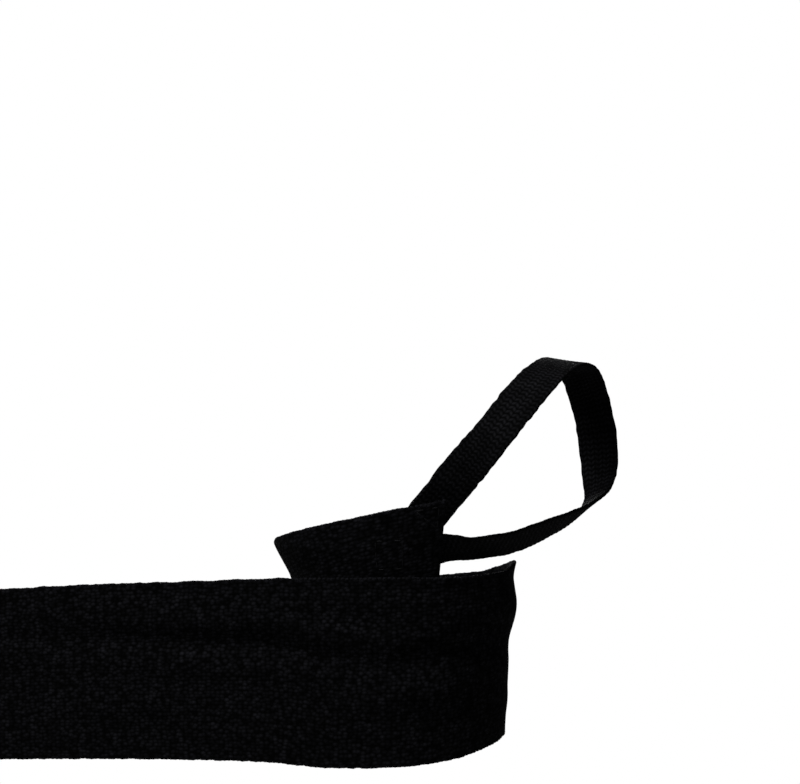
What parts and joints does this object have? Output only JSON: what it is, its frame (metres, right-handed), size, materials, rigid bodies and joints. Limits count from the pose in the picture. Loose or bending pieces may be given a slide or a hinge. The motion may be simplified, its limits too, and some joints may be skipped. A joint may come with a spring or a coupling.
{
  "type": "boxing hand wrap",
  "caption": "Black elastic boxing hand wrap as worn on a right wrist: a wide band wound round it over its own start, its free end led away to the side, and a sewn tape loop for the thumb.",
  "frame": {"origin": "middle of the wrist tunnel, where the wrist sits", "axes": "+Z along the forearm to the fingers, +X to the thumb side, -Y out of the palm side; the free end runs along -X"},
  "size_m": [0.184, 0.0547, 0.1146],
  "materials": {
    "black_elastic_cotton": "matt woven elastic cotton",
    "black_elastic_tape": "matt braided elastic tape"
  },
  "bodies": {
    "root": {"wrap_band": "black_elastic_cotton", "thumb_loop": "black_elastic_tape"}
  },
  "joints": []
}
